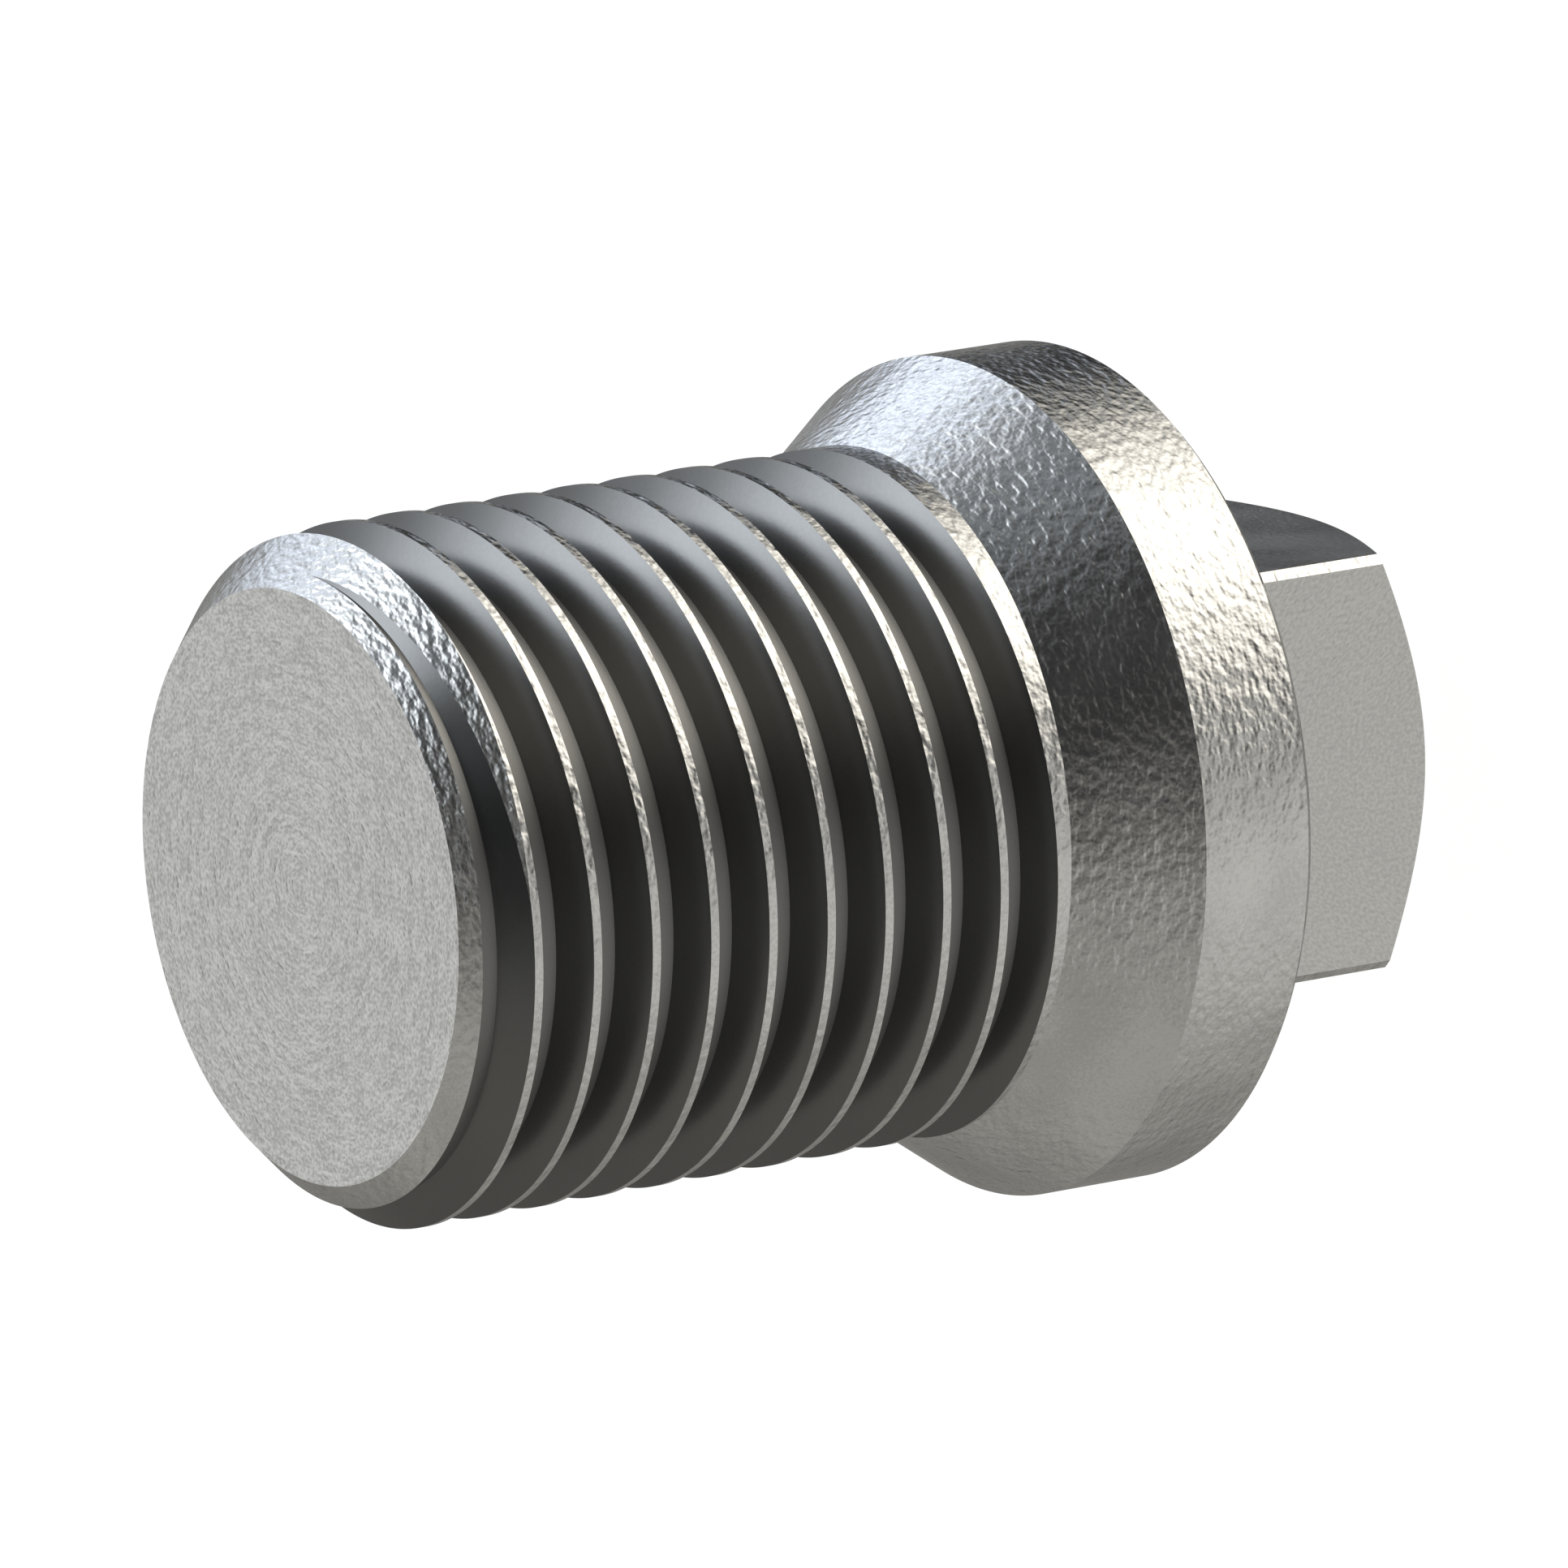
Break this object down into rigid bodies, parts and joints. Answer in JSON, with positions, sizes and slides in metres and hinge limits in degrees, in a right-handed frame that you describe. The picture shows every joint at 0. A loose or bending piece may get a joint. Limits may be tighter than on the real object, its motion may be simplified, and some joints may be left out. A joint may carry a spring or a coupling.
{
  "type": "pipe plug",
  "caption": "Externally threaded steel pipe plug with a conical sealing seat, a round rim and a turned square drive head; it closes a threaded port.",
  "frame": {"origin": "centre of the flat end of the square head, which the plug stands on", "axes": "+Z along the plug's axis towards the thread end, +X square to one flat of the head"},
  "size_m": [0.016, 0.016, 0.0226],
  "materials": {
    "steel": "bright turned steel, satin on the end face and the square's flats, glossier on the rim, seat and thread"
  },
  "bodies": {
    "root": {"plug": "steel"}
  },
  "joints": []
}
